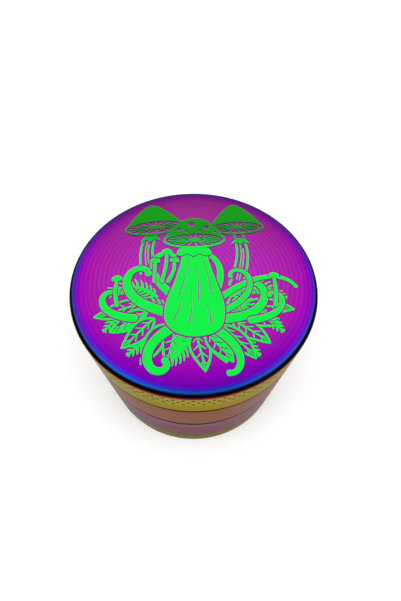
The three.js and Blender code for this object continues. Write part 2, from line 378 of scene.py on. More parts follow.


# %% [markdown]
# ## The colours of the coat
#
# The coat is a film of oxide, and its thickness sets its colour. On the lid it runs from
# magenta in the middle through violet and blue to azure on the bevel. Where the rim turns
# over it is painted black, a painted reflection of dark surroundings in the tight round,
# then it is dark red, then gold down the side. A ramp along the radius and one down the
# wall carry these colours in the object's own coordinates, so they stay on the metal when
# the lid turns. Three radius ramps, for the front, the sides and the back, differ partly in
# the film's colour and partly as painted reflection, which turns with the lid too.

# %% Lid ramps, along the radius as a share of the whole, and down the wall
# Front, side and back: partly the film's colour, partly painted reflection. The dark last stops begin the
# rim's painted reflection
LID_FRONT = [
    (0.00, (170, 46, 180)), (0.50, (158, 38, 182)), (0.68, (160, 12, 185)), (0.76, (162, 3, 187)),
    (0.85, (138, 3, 178)), (0.91, (114, 3, 172)), (0.930, (94, 6, 172)), (0.948, (46, 30, 178)),
    (0.964, (8, 78, 178)), (0.972, (10, 78, 150)), (0.981, (4, 30, 50)),
]
LID_SIDE = [
    (0.00, (180, 50, 186)), (0.45, (186, 44, 188)), (0.60, (180, 42, 178)), (0.75, (176, 34, 174)),
    (0.85, (172, 24, 178)), (0.90, (164, 14, 186)), (0.930, (142, 12, 190)), (0.950, (102, 24, 190)),
    (0.966, (56, 56, 182)), (0.980, (24, 80, 168)), (0.990, (14, 38, 62)),
]
LID_BACK = [
    (0.00, (170, 50, 166)), (0.45, (162, 49, 158)), (0.70, (160, 47, 147)), (0.85, (147, 38, 137)),
    (0.90, (134, 26, 138)), (0.930, (112, 22, 138)), (0.955, (86, 28, 138)), (0.975, (48, 56, 150)),
    (0.992, (22, 28, 58)),
]
# Down the wall: the black at the top is a painted dark reflection in the tight round, and the darkening at
# the foot is painted shade at the seam
LID_WALL = [
    (0.000, (6, 34, 56)), (0.010, (1, 4, 6)), (0.034, (1, 0, 1)), (0.054, (92, 14, 46)),
    (0.088, (124, 56, 54)), (0.115, (164, 124, 78)), (0.14, (170, 146, 84)), (0.48, (166, 152, 82)),
    (0.60, (148, 132, 46)), (0.93, (150, 132, 38)), (0.955, (112, 90, 36)), (0.972, (56, 38, 24)),
    (1.00, (28, 18, 12)),
]
LID_INSIDE = [
    (0.00, (196, 178, 96)), (0.30, (190, 150, 84)), (0.62, (176, 104, 120)), (1.00, (128, 84, 168)),
]
WALL_TOP = LID_TOP - CROWN_DROP


# %% Colours that drift to the sides, a painted sheen
def painted_sheen_drift(tree, front, axes, left, right):
    """A painted sheen: front fades to the left and right colours as a wall turns away"""
    share = calc(tree, "DIVIDE", axes[0], RADIUS)
    to_left = calc(tree, "MULTIPLY", remap(tree, share, -0.15, -0.85), 0.8)
    to_right = calc(tree, "MULTIPLY", remap(tree, share, 0.15, 0.85), 0.8)
    half = mix(tree, to_left, front, linear(*left))
    return mix(tree, to_right, half, linear(*right))


def lid_colour(tree, radius, axes):
    share = calc(tree, "DIVIDE", radius, RADIUS)
    depth = calc(tree, "DIVIDE", axes[1], RADIUS)
    # Blend the front, side and back ramps: film colour with painted reflection
    front, side, back = [ramp(tree, share, stops) for stops in (LID_FRONT, LID_SIDE, LID_BACK)]
    sides_to_front = mix(tree, remap(tree, depth, -0.25, -0.95, True), side, front)
    top = mix(tree, remap(tree, depth, 0.0, 0.8, True), sides_to_front, back)
    drop = calc(tree, "DIVIDE", calc(tree, "SUBTRACT", WALL_TOP, axes[2]), WALL_TOP - LID_BOTTOM)
    wall = painted_sheen_drift(tree, ramp(tree, drop, LID_WALL), axes, (140, 134, 88), (142, 120, 76))
    # Near the top, the rim's painted dark reflection is kept without the colour change to the sides
    painted_rim_reflection = ramp(tree, drop, LID_WALL[:4])
    wall = mix(tree, remap(tree, drop, 0.06, 0.10), painted_rim_reflection, wall)
    outside = mix(tree, remap(tree, drop, 0.0, 0.004), top, wall)
    # The dents of the knurl are painted dark: painted shadow in the hollows
    dent = remap(tree, radius, RADIUS - 0.01 * MM, RADIUS - 0.12 * MM)
    shadow = mix(tree, remap(tree, drop, 0.12, 0.14), outside, linear(36, 31, 12))
    outside = mix(tree, dent, outside, shadow)
    tips = remap(tree, axes[2], CEILING, LID_TEETH_TIP)
    inner = calc(tree, "LESS_THAN", radius, SKIRT_BORE + 0.5 * EDGE)
    below = calc(tree, "LESS_THAN", axes[2], CEILING + EDGE)
    inside = calc(tree, "MULTIPLY", inner, below)
    return mix(tree, inside, outside, ramp(tree, tips, LID_INSIDE))


# %% Bands of the lower pieces
def band_colour(bottom, top, stops, left, right, inside):
    """stops colour the outer wall. inside colours spigots, bores and teeth, from the lowest up"""
    def colour(tree, radius, axes):
        wall = painted_sheen_drift(tree, ramp(tree, remap(tree, axes[2], bottom, top), stops), axes, left, right)
        hidden = ramp(tree, remap(tree, axes[2], bottom - SPIGOT_LENGTH, top), inside)
        return mix(tree, calc(tree, "LESS_THAN", radius, RADIUS - 0.5 * MM), wall, hidden)
    return colour


lid_coating = turned_finish("lid_coating", lid_colour, 0.30, (0.60, 0.55, 0.32),
                            ring_pitch=1.15 * MM, ring_shade=0.18, ring_depth=0.008 * MM, fan=0.9)
# The plate's band is painted dark at its seams, below the lid and above the chamber: painted shade in the
# grooves between the pieces
plate_coating = turned_finish("plate_coating", band_colour(PLATE_BOTTOM, COLLAR_TOP, [
    (0.000, (28, 17, 15)), (0.028, (60, 36, 30)), (0.052, (126, 80, 62)), (0.30, (138, 89, 62)),
    (0.610, (136, 86, 64)), (0.634, (100, 66, 48)), (0.652, (44, 29, 24)), (0.668, (32, 22, 18)),
], (134, 102, 80), (126, 94, 98), [
    (0.00, (166, 118, 152)), (0.30, (198, 134, 116)), (0.55, (208, 152, 98)), (1.00, (216, 190, 114)),
]), 0.32, (0.60, 0.47, 0.43))
# The chamber's grey stripe near its top is a painted highlight on its top edge, and its seams are painted
# dark as painted shade
chamber_coating = turned_finish("chamber_coating", band_colour(CHAMBER_BOTTOM, CHAMBER_TOP, [
    (0.000, (72, 56, 52)), (0.022, (110, 74, 84)), (0.60, (118, 74, 92)), (0.79, (120, 88, 100)),
    (0.85, (130, 120, 122)), (0.905, (130, 118, 120)), (0.940, (60, 44, 44)), (1.00, (28, 20, 20)),
], (114, 86, 90), (126, 92, 108), [
    (0.00, (150, 108, 164)), (0.45, (188, 124, 160)), (1.00, (200, 160, 172)),
]), 0.32, (0.58, 0.42, 0.47))
# The cup is a little darker at its foot and at its seam: painted shade
cup_coating = turned_finish("cup_coating", band_colour(0.0, CUP_TOP, [
    (0.00, (92, 84, 52)), (0.10, (108, 98, 60)), (0.95, (114, 102, 64)), (1.00, (74, 66, 48)),
], (110, 106, 72), (118, 104, 78), [
    (0.00, (158, 150, 82)), (1.00, (196, 178, 116)),
]), 0.32, (0.56, 0.52, 0.33))
print("coatings:", [m.name for m in (lid_coating, plate_coating, chamber_coating, cup_coating)])

# %% [markdown]
# ## Turning a piece
#
# Each metal piece starts as an outline of radius and height, turned about the axis as on a
# lathe. The rows are built in code rather than with a Screw modifier, because the knurl
# must later join the lid's wall exactly, column for column. Edges that a turner would
# break are short arcs. Once a piece is whole, its normals are made to point outwards, and
# an edge is kept sharp only where the surface really breaks.

# %% Outline helpers
COLUMNS = 176


def arc(centre_radius, centre_height, radius, start, end, steps=4):
    """Points along a round stretch of an outline. Angles are in degrees from outward"""
    angles = np.radians(np.linspace(start, end, steps + 1))
    return [(centre_radius + radius * cos(a), centre_height + radius * sin(a)) for a in angles]


def eased(outline, ease):
    """Rounds the corners named in ease, {place in the outline: radius}"""
    points = []
    for i, corner in enumerate(outline):
        if i not in ease:
            points.append(corner)
            continue
        here = np.array(corner)
        before = np.array(outline[i - 1]) - here
        after = np.array(outline[(i + 1) % len(outline)]) - here
        start = here + before / np.hypot(*before) * ease[i]
        end = here + after / np.hypot(*after) * ease[i]
        for t in np.linspace(0, 1, 5):
            points.append(tuple((1 - t) ** 2 * start + 2 * t * (1 - t) * here + t ** 2 * end))
    return points


def skin(shape, rows):
    """Faces from each ring of points to the next. A pole is a ring of one point"""
    for lower, upper in zip(rows, rows[1:]):
        count = max(len(lower), len(upper))
        for i in range(count):
            j = (i + 1) % count
            corners = [lower[i % len(lower)], lower[j % len(lower)],
                       upper[j % len(upper)], upper[i % len(upper)]]
            shape.faces.new(dict.fromkeys(corners))


def turn(shape, outline, loop=False):
    """Adds the outline, turned about Z, to a bmesh"""
    angles = [2 * pi * i / COLUMNS for i in range(COLUMNS)]
    rows = []
    for radius, height in outline:
        spots = angles if radius > 1e-7 else [0.0]
        rows.append([shape.verts.new((radius * cos(a), radius * sin(a), height)) for a in spots])
    skin(shape, rows + rows[:1] if loop else rows)


# %% Mesh helpers
def new_object(name, mesh):
    made = bpy.data.objects.new(name, mesh)
    scene.collection.objects.link(made)
    return made


def plain_mesh(name, shape):
    mesh = bpy.data.meshes.new(name)
    shape.to_mesh(mesh)
    shape.free()
    return mesh


def as_mesh(name, shape, merge=1e-7):
    """Closes a bmesh up into a mesh whose faces point outwards"""
    bmesh.ops.remove_doubles(shape, verts=shape.verts, dist=merge)
    bmesh.ops.recalc_face_normals(shape, faces=shape.faces)
    return plain_mesh(name, shape)


def turned(name, corners, ease, loop=False):
    """A closed wall turned from an outline, its corners rounded as ease says"""
    shape = bmesh.new()
    turn(shape, eased(corners, ease), loop)
    return as_mesh(name, shape)


def finish_mesh(mesh, material, sharp):
    """One material, smooth faces, and sharp edges where the surface breaks"""
    shape = bmesh.new()
    shape.from_mesh(mesh)
    bmesh.ops.remove_doubles(shape, verts=shape.verts, dist=1e-7)
    bmesh.ops.dissolve_degenerate(shape, edges=shape.edges, dist=1e-7)
    for face in shape.faces:
        face.smooth = True
        face.material_index = 0
    for edge in shape.edges:
        edge.smooth = len(edge.link_faces) == 2 and edge.calc_face_angle(0.0) < radians(sharp)
    loose = sum(1 for edge in shape.edges if len(edge.link_faces) != 2)
    shape.to_mesh(mesh)
    print(f"{mesh.name}: {len(mesh.polygons)} faces, {loose} open edges")
    shape.free()
    mesh.materials.clear()
    mesh.materials.append(material)


def add_piece(name, mesh, material, body, replaces=None, sharp=32.0, even_normals=True):
    """Finishes a mesh and puts it on its body, in place of its plain solid"""
    mesh.name = name
    finish_mesh(mesh, material, sharp)
    piece = new_object(name, mesh)
    if even_normals:
        weights = piece.modifiers.new("even_normals", "WEIGHTED_NORMAL")
        weights.keep_sharp = True
    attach(piece, body)
    if replaces:
        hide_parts(replaces)
    return piece


# %% [markdown]
# ## What repeats
#
# Teeth, drop holes, dents, thread turns and wires all follow a rule, so Geometry Nodes
# place them. Each tree is built once with named inputs. It runs on a throwaway object, and
# its result is kept as a plain mesh, so nothing depends on a live modifier.


# %% Building and running a tree
def geometry_tree(name, **inputs):
    """A tree with the named number inputs, besides its geometry and its material"""
    numbers = [(label.replace("_", " "), kind) for label, kind in inputs.items()]
    return new_group(name, "GeometryNodeTree", [
        ("Geometry", "Geometry"), *numbers, ("Material", "Material")], [("Geometry", "Geometry")])


def place_in(tree):
    """X, Y and Z of the points that a tree works on"""
    place = put(tree, "GeometryNodeInputPosition").outputs[0]
    return put(tree, "ShaderNodeSeparateXYZ", {0: place}).outputs


def end_tree(tree, given, geometry):
    """Every tree ends alike: instances become real and take their material"""
    real = put(tree, "GeometryNodeRealizeInstances", {0: geometry})
    coated = put(tree, "GeometryNodeSetMaterial", {
        "Geometry": real.outputs[0], "Material": given["Material"]})
    put(tree, "NodeGroupOutput", {0: coated.outputs[0]})
    return tree


def kept_mesh(*objects):
    """What the modifiers of the first object make. The objects themselves are thrown away"""
    bpy.context.view_layer.update()
    evaluated = objects[0].evaluated_get(bpy.context.evaluated_depsgraph_get())
    result = bpy.data.meshes.new_from_object(evaluated)
    for used in objects:
        bpy.data.objects.remove(used)
    return result


def run_tree(tree, mesh, values):
    """The mesh that a tree makes from a mesh and named values"""
    carrier = new_object("carrier", mesh)
    modifier = carrier.modifiers.new(tree.name, "NODES")
    modifier.node_group = tree
    for item in tree.interface.items_tree:
        if item.in_out == "INPUT" and item.name in values:
            modifier[item.identifier] = values[item.name]
    return kept_mesh(carrier)


def boolean(base, tool, operation):
    """The mesh left when tool is joined to base or cut from it"""
    first, second = new_object("base", base), new_object("tool", tool)
    modifier = first.modifiers.new("boolean", "BOOLEAN")
    modifier.operation = operation
    modifier.object = second
    return kept_mesh(first, second)


# %% Tree: a ring of copies round the axis
def ring_tree():
    tree, given = geometry_tree("ring_of_copies", Count="Int", Radius="Float")
    index = put(tree, "GeometryNodeInputIndex").outputs[0]
    angle = calc(tree, "MULTIPLY", calc(tree, "DIVIDE", index, given["Count"]), 2 * pi)
    spot = polar(tree, angle, given["Radius"])
    spots = put(tree, "GeometryNodePoints", {"Count": given["Count"], "Position": spot})
    copies = put(tree, "GeometryNodeInstanceOnPoints", {
        "Points": spots.outputs[0], "Instance": given["Geometry"],
        "Rotation": vector(tree, z=angle)})
    return end_tree(tree, given, copies.outputs[0])


RING = ring_tree()


def rings_of(mesh, radii, spacing, material):
    """A ring of copies at each radius, as many as the spacing allows"""
    shape = bmesh.new()
    for radius in radii:
        count = int(2 * pi * radius / spacing)
        ring = run_tree(RING, mesh, {"Count": count, "Radius": radius, "Material": material})
        shape.from_mesh(ring)
    return as_mesh(mesh.name + "_rings", shape)


# %% [markdown]
# ## Teeth and threads
#
# A tooth is a tapered diamond post, left standing by the cutter, with a small bevel round
# its tip. A thread is a ridge with a trapezium section. It could be swept along a helix
# curve, but a swept section may twist, so it is made the other way round: a straight bar
# whose cross-sections a tree winds into a helix. Both join their piece with an exact
# boolean, so that each piece stays one closed skin.


# %% Posts and drills
def post(name, sections, corners, half_width, half_length):
    """A closed post through (height, share of its full size) sections"""
    shape = bmesh.new()
    angles = [2 * pi * i / corners for i in range(corners)]
    rows = [[shape.verts.new((share * half_width * cos(a), share * half_length * sin(a), height))
             for a in angles] for height, share in sections]
    skin(shape, rows)
    shape.faces.new(rows[0][::-1])
    shape.faces.new(rows[-1])
    return as_mesh(name, shape)


def tooth(root, tip):
    bevel = 0.3 * MM if tip < root else -0.3 * MM
    sections = sorted([(root, 1.0), (tip + bevel, 0.81), (tip, 0.66)])
    return post("tooth", sections, 4, TOOTH_WIDTH / 2, TOOTH_LENGTH / 2)


# %% Tree: wind a bar into a helix
THREAD_STEPS = 88
FADE_STEPS = 8


def thread_tree():
    """The bar lies along X, one unit for each step of a turn, with outward as +Y"""
    tree, given = geometry_tree(
        "wound_thread", Steps="Float", Radius="Float", Outward="Float", Bottom="Float",
        Start_Angle="Float", Pitch="Float")
    here = place_in(tree)
    turn_share = calc(tree, "DIVIDE", here[0], THREAD_STEPS)
    angle = calc(tree, "MULTIPLY_ADD", turn_share, 2 * pi, given["Start Angle"])
    to_end = calc(tree, "MINIMUM", here[0], calc(tree, "SUBTRACT", given["Steps"], here[0]))
    fade = calc(tree, "MINIMUM", calc(tree, "DIVIDE", to_end, FADE_STEPS), 1.0)
    proud = calc(tree, "MULTIPLY", calc(tree, "MAXIMUM", here[1], 0.0), fade)
    offset = calc(tree, "ADD", proud, calc(tree, "MINIMUM", here[1], 0.0))
    radius = calc(tree, "MULTIPLY_ADD", offset, given["Outward"], given["Radius"])
    climb = calc(tree, "MULTIPLY_ADD", turn_share, given["Pitch"], given["Bottom"])
    wound = polar(tree, angle, radius, calc(tree, "ADD", climb, here[2]))
    bent = put(tree, "GeometryNodeSetPosition", {"Geometry": given["Geometry"], "Position": wound})
    return end_tree(tree, given, bent.outputs[0])


THREAD = thread_tree()


# %% Thread ridges for a spigot or a bore
def thread_ridge(shoulder, radius, outward, start_angle, material):
    """outward is 1 for a ridge on a spigot and -1 for one in a bore"""
    steps = int((SPIGOT_LENGTH - 1.5 * THREAD_ROOT) / THREAD_PITCH * THREAD_STEPS)
    root, crest, sunk = THREAD_ROOT / 2, THREAD_CREST / 2, -THREAD_DEPTH / 2
    section = [(sunk, -root), (sunk, root), (THREAD_DEPTH, crest), (THREAD_DEPTH, -crest)]
    shape = bmesh.new()
    rows = [[shape.verts.new((i, y, z)) for y, z in section] for i in range(steps + 1)]
    skin(shape, rows)
    shape.faces.new(rows[0])
    shape.faces.new(rows[-1][::-1])
    ridge = run_tree(THREAD, plain_mesh("thread", shape), {
        "Steps": float(steps), "Radius": radius, "Outward": float(outward),
        "Bottom": shoulder - SPIGOT_LENGTH + THREAD_ROOT, "Start Angle": start_angle,
        "Pitch": THREAD_PITCH, "Material": material})
    closed = bmesh.new()
    closed.from_mesh(ridge)
    return as_mesh("thread_ridge", closed)


# %% [markdown]
# ## Knurl
#
# A band of small dents under the rim gives the fingers a grip. A knurling wheel presses
# them in staggered rows. One flat cell with a dent is modelled, a tree lays the cells out
# in rows, each shifted half a cell, and wraps the sheet round the lid. The cell's corners
# fall exactly on the lid's own columns, so the band welds into the wall.

# %% One cell
KNURL_COLUMNS = COLUMNS // 2
KNURL_ROWS = 3
KNURL_CELL = 1.3 * MM
KNURL_TOP = LID_TOP - 2.15 * MM
KNURL_BOTTOM = KNURL_TOP - KNURL_ROWS * KNURL_CELL
DENT_DEPTH = 0.40 * MM


def knurl_cell():
    """A flat cell in the XZ plane with a diamond dent sunk towards -Y"""
    wide = pi * RADIUS / KNURL_COLUMNS
    high = KNURL_CELL / 2
    shape = bmesh.new()
    frame_of_cell = [shape.verts.new((x, 0.0, z)) for x, z in (
        (-wide, -high), (0, -high), (wide, -high), (wide, high), (0, high), (-wide, high))]
    dent = [(-0.70 * wide, 0), (0, -0.92 * high), (0.70 * wide, 0), (0, 0.92 * high)]
    lip = [shape.verts.new((x, 0.0, z)) for x, z in dent]
    base = [shape.verts.new((0.6 * x, -0.8 * DENT_DEPTH, 0.6 * z)) for x, z in dent]
    pit = shape.verts.new((0.0, -DENT_DEPTH, 0.0))
    low_left, low, low_right, high_right, top, high_left = frame_of_cell
    left, down, right, up = lip
    for corners in ((high_left, low_left, left), (low_left, low, down, left),
                    (low, low_right, right, down), (low_right, high_right, right),
                    (high_right, top, up, right), (top, high_left, left, up)):
        shape.faces.new(corners)
    for i in range(4):
        j = (i + 1) % 4
        shape.faces.new((lip[i], lip[j], base[j], base[i]))
        shape.faces.new((base[i], base[j], pit))
    return plain_mesh("knurl_cell", shape)


# %% Tree: lay the cells out and wrap them
def knurl_tree():
    tree, given = geometry_tree(
        "knurl_band", Columns="Int", Rows="Int", Cell_Height="Float", Radius="Float", Bottom="Float")
    index = put(tree, "GeometryNodeInputIndex").outputs[0]
    row = calc(tree, "FLOOR", calc(tree, "DIVIDE", index, given["Columns"]))
    column = calc(tree, "MODULO", index, given["Columns"])
    shift = calc(tree, "MULTIPLY", calc(tree, "MODULO", row, 2.0), 0.5)
    wide = calc(tree, "DIVIDE", calc(tree, "MULTIPLY", given["Radius"], 2 * pi), given["Columns"])
    spot = vector(tree, x=calc(tree, "MULTIPLY", calc(tree, "ADD", column, shift), wide),
                  z=calc(tree, "MULTIPLY", calc(tree, "ADD", row, 0.5), given["Cell Height"]))
    count = calc(tree, "MULTIPLY", given["Columns"], given["Rows"])
    spots = put(tree, "GeometryNodePoints", {"Count": count, "Position": spot})
    copies = put(tree, "GeometryNodeInstanceOnPoints", {
        "Points": spots.outputs[0], "Instance": given["Geometry"]})
    sheet = put(tree, "GeometryNodeRealizeInstances", {0: copies.outputs[0]})
    here = place_in(tree)
    angle = calc(tree, "DIVIDE", here[0], given["Radius"])
    radius = calc(tree, "ADD", here[1], given["Radius"])
    wrapped = polar(tree, angle, radius, calc(tree, "ADD", here[2], given["Bottom"]))
    bent = put(tree, "GeometryNodeSetPosition", {"Geometry": sheet.outputs[0], "Position": wrapped})
    return end_tree(tree, given, bent.outputs[0])


KNURL = knurl_tree()

# %% [markdown]
# ## The lid
#
# From the top down the lid has a flat face, a soft bevel, a tight round, the knurled band
# and a plain skirt that turns on the plate's collar. Inside hang a boss with a pocket for
# the magnet, and two rows of teeth. The wall is turned in two stretches, one below the
# knurl and one above it, and the knurl closes the gap between them.


# %% Turned lid
def lid_shape():
    inner = eased([
        (0.0, BOSS_BOTTOM + POCKET_DEPTH), (POCKET_RADIUS, BOSS_BOTTOM + POCKET_DEPTH),
        (POCKET_RADIUS, BOSS_BOTTOM), (POST_RADIUS, BOSS_BOTTOM), (POST_RADIUS, CEILING),
        (SKIRT_BORE, CEILING), (SKIRT_BORE, LID_BOTTOM),
    ], {2: 0.15 * MM, 3: 0.3 * MM, 4: 0.5 * MM})
    inner += [*arc(RADIUS - EDGE, LID_BOTTOM + EDGE, EDGE, -90, 0), (RADIUS, KNURL_BOTTOM)]
    bevel_end = CROWN_EDGE - CROWN_WIDTH
    outer = [(RADIUS, KNURL_TOP), *arc(CROWN_EDGE, RIM_CENTRE, RIM_RADIUS, 0, 80, 10)]
    for t in np.linspace(0, 1, 9)[1:]:
        outer.append((CROWN_EDGE - t * CROWN_WIDTH, LID_TOP - CROWN_DROP * (1 - t) ** 2))
    outer += [(share * bevel_end, LID_TOP) for share in (0.75, 0.5, 0.25, 0.0)]
    shape = bmesh.new()
    turn(shape, inner)
    turn(shape, outer)
    shape.from_mesh(run_tree(KNURL, knurl_cell(), {
        "Columns": KNURL_COLUMNS, "Rows": KNURL_ROWS, "Cell Height": KNURL_CELL,
        "Radius": RADIUS, "Bottom": KNURL_BOTTOM, "Material": lid_coating}))
    return as_mesh("lid_wall", shape, merge=5e-6)


teeth = rings_of(tooth(CEILING + 0.8 * MM, LID_TEETH_TIP), LID_ROWS, TOOTH_SPACING, lid_coating)
lid_mesh = boolean(lid_shape(), teeth, "UNION")
add_piece("turned_lid", lid_mesh, lid_coating, "lid", "lid")

# %% [markdown]
# ## The tooth plate
#
# The plate carries two things at once: a spigot with a thread that screws into the chamber,
# and a collar on which the lid turns. Between them is a floor with three rows of teeth,
# holes that let the ground herb drop, and a post with the second magnet. The holes are
# drilled with a tool that flares at both faces, which breaks their edges as a real
# countersink does.


# %% Turned plate
def plate_shape():
    spigot_end = PLATE_BOTTOM - SPIGOT_LENGTH
    return turned("plate_wall", [
        (0.0, FLOOR_BOTTOM), (SPIGOT_BORE, FLOOR_BOTTOM), (SPIGOT_BORE, spigot_end),
        (MALE_CORE, spigot_end), (MALE_CORE, PLATE_BOTTOM), (RADIUS, PLATE_BOTTOM),
        (RADIUS, PLATE_TOP), (COLLAR_RADIUS, PLATE_TOP), (COLLAR_RADIUS, COLLAR_TOP),
        (COLLAR_BORE, COLLAR_TOP), (COLLAR_BORE, FLOOR_TOP), (POST_RADIUS, FLOOR_TOP),
        (POST_RADIUS, POST_TOP), (POCKET_RADIUS, POST_TOP),
        (POCKET_RADIUS, POST_TOP - POCKET_DEPTH), (0.0, POST_TOP - POCKET_DEPTH),
    ], {2: 0.15 * MM, 3: EDGE, 5: EDGE, 6: EDGE, 8: EDGE, 9: 0.2 * MM, 10: 0.4 * MM, 11: 0.4 * MM,
        12: 0.3 * MM, 13: 0.15 * MM})


def drill():
    flare = 1.0 + 0.12 * MM / HOLE_RADIUS
    far = 1.0 * MM
    sections = [(FLOOR_BOTTOM - far, flare), (FLOOR_BOTTOM, flare), (FLOOR_BOTTOM + 0.12 * MM, 1.0),
                (FLOOR_TOP - 0.12 * MM, 1.0), (FLOOR_TOP, flare), (FLOOR_TOP + far, flare)]
    return post("drill", sections, 32, HOLE_RADIUS, HOLE_RADIUS)


plate_teeth = tooth(FLOOR_TOP - 0.75 * MM, FLOOR_TOP + 9.0 * MM)
plate_teeth = rings_of(plate_teeth, PLATE_ROWS, TOOTH_SPACING, plate_coating)
plate_mesh = boolean(plate_shape(), plate_teeth, "UNION")
spigot_thread = thread_ridge(PLATE_BOTTOM, MALE_CORE, 1, 0.0, plate_coating)
plate_mesh = boolean(plate_mesh, spigot_thread, "UNION")
drop_holes = rings_of(drill(), LID_ROWS, HOLE_SPACING, plate_coating)
plate_mesh = boolean(plate_mesh, drop_holes, "DIFFERENCE")
add_piece("turned_plate", plate_mesh, plate_coating, "plate", "tooth_plate")

# %% [markdown]
# ## The chamber and the catch cup
#
# The chamber is a tube with a thread at each end. Its wall slopes in below to a ledge that
# holds the screen. The catch cup is a shallow bowl with a thread in its rim, and it stands
# on a wide ring. Both are outlines with a ridge or two joined on.


# %% Turned chamber
def chamber_shape():
    spigot_end = CHAMBER_BOTTOM - SPIGOT_LENGTH
    bore_floor = PLATE_BOTTOM - BORE_LENGTH
    chamber_bore = RADIUS - 3.7 * MM
    ledge_top = spigot_end + 2.3 * MM
    ledge_bore = SPIGOT_BORE - 1.9 * MM
    return turned("chamber_wall", [
        (ledge_bore, spigot_end), (MALE_CORE, spigot_end), (MALE_CORE, CHAMBER_BOTTOM),
        (RADIUS, CHAMBER_BOTTOM), (RADIUS, CHAMBER_TOP), (FEMALE_BORE, CHAMBER_TOP),
        (FEMALE_BORE, bore_floor), (chamber_bore, bore_floor),
        (chamber_bore, CHAMBER_BOTTOM + chamber_bore - SPIGOT_BORE), (SPIGOT_BORE, CHAMBER_BOTTOM),
        (SPIGOT_BORE, ledge_top), (ledge_bore, ledge_top),
    ], {0: 0.15 * MM, 1: EDGE, 3: EDGE, 4: EDGE, 5: 0.15 * MM, 7: 0.2 * MM, 8: 0.6 * MM,
        11: 0.15 * MM}, loop=True)


chamber_mesh = chamber_shape()
for shoulder, radius, outward, start in ((CHAMBER_BOTTOM, MALE_CORE, 1, 0.0),
                                         (CHAMBER_TOP, FEMALE_BORE, -1, pi)):
    ridge = thread_ridge(shoulder, radius, outward, start, chamber_coating)
    chamber_mesh = boolean(chamber_mesh, ridge, "UNION")
add_piece("turned_chamber", chamber_mesh, chamber_coating, "chamber",
          "screen_chamber")


# %% Turned cup
def cup_shape():
    bore_floor = CHAMBER_BOTTOM - BORE_LENGTH
    bowl_radius = RADIUS - 4.1 * MM
    foot_inner = RADIUS - 9.0 * MM
    recess = 0.3 * MM
    bowl_floor = recess + 1.1 * MM
    return turned("cup_wall", [
        (0.0, recess), (foot_inner, recess), (foot_inner, 0.0), (RADIUS, 0.0), (RADIUS, CUP_TOP),
        (FEMALE_BORE, CUP_TOP), (FEMALE_BORE, bore_floor), (bowl_radius, bore_floor),
        (bowl_radius, bowl_floor), (0.0, bowl_floor),
    ], {2: 0.1 * MM, 3: 0.6 * MM, 4: EDGE, 5: 0.15 * MM, 7: 0.2 * MM, 8: 1.0 * MM})


cup_thread = thread_ridge(CUP_TOP, FEMALE_BORE, -1, pi, cup_coating)
cup_mesh = boolean(cup_shape(), cup_thread, "UNION")
add_piece("turned_cup", cup_mesh, cup_coating, "catch_cup", "catch_cup")

# %% [markdown]
# ## Screen, rings and magnets
#
# The screen is woven from fine steel wire. A woven pattern could be faked with a bump, but
# when the chamber is off the screen is seen close, and powder must fall through it, so the
# wires are real. A tree lays straight lines across the ledge, keeps what lies inside the
# circle, lifts and lowers them in turn where they cross, and gives them thickness. The
# small turned pieces beside it are outlines with eased corners.

# %% Tree: woven screen
WIRE_PITCH = 0.8 * MM
WIRE_RADIUS = 0.055 * MM


def screen_tree():
    tree, given = geometry_tree(
        "woven_screen", Wires="Int", Pitch="Float", Radius="Float", Wire_Radius="Float",
        Middle="Float")
    half = calc(tree, "MULTIPLY", calc(tree, "MULTIPLY", given["Pitch"], -0.5),
                calc(tree, "SUBTRACT", given["Wires"], 1.0))
    steps = calc(tree, "SUBTRACT", calc(tree, "MULTIPLY", given["Wires"], 2.0), 1.0)
    wire, rows = [put(tree, "GeometryNodeMeshLine", {
        "Count": count, "Start Location": start, "Offset": step}, mode="OFFSET")
        for count, start, step in (
            (steps, vector(tree, x=half), vector(tree, x=calc(tree, "MULTIPLY", given["Pitch"], 0.5))),
            (given["Wires"], vector(tree, y=half), vector(tree, y=given["Pitch"])))]
    laid = put(tree, "GeometryNodeInstanceOnPoints", {
        "Points": rows.outputs[0], "Instance": wire.outputs[0]})
    real = put(tree, "GeometryNodeRealizeInstances", {0: laid.outputs[0]})
    place = put(tree, "GeometryNodeInputPosition").outputs[0]
    away = put(tree, "ShaderNodeVectorMath", {0: place}, operation="LENGTH").outputs["Value"]
    outside = put(tree, "FunctionNodeCompare", {0: away, 1: given["Radius"]}, operation="GREATER_THAN")
    kept = put(tree, "GeometryNodeDeleteGeometry", {0: real.outputs[0], 1: outside.outputs[0]})
    axes = put(tree, "ShaderNodeSeparateXYZ", {0: place}).outputs
    waves = []
    for axis in axes[:2]:
        reach = calc(tree, "MULTIPLY", calc(tree, "SUBTRACT", axis, half), pi)
        waves.append(calc(tree, "COSINE", calc(tree, "DIVIDE", reach, given["Pitch"])))
    lift = calc(tree, "MULTIPLY", calc(tree, "MULTIPLY", *waves), given["Wire Radius"])
    warp = put(tree, "GeometryNodeSetPosition", {
        "Geometry": kept.outputs[0], "Offset": vector(tree, z=lift)})
    weft = put(tree, "GeometryNodeTransform", {
        0: warp.outputs[0], "Rotation": (0.0, 0.0, pi / 2), "Scale": (1.0, 1.0, -1.0)})
    both = put(tree, "GeometryNodeJoinGeometry")
    for lines in (warp, weft):
        tree.links.new(lines.outputs[0], both.inputs[0])
    moved = put(tree, "GeometryNodeTransform", {
        0: both.outputs[0], "Translation": vector(tree, z=given["Middle"])})
    paths = put(tree, "GeometryNodeMeshToCurve", {0: moved.outputs[0]})
    section = put(tree, "GeometryNodeCurvePrimitiveCircle", {
        "Resolution": 5, "Radius": given["Wire Radius"]})
    wires = put(tree, "GeometryNodeCurveToMesh", {
        0: paths.outputs[0], "Profile Curve": section.outputs[0], "Fill Caps": True})
    return end_tree(tree, given, wires.outputs[0])


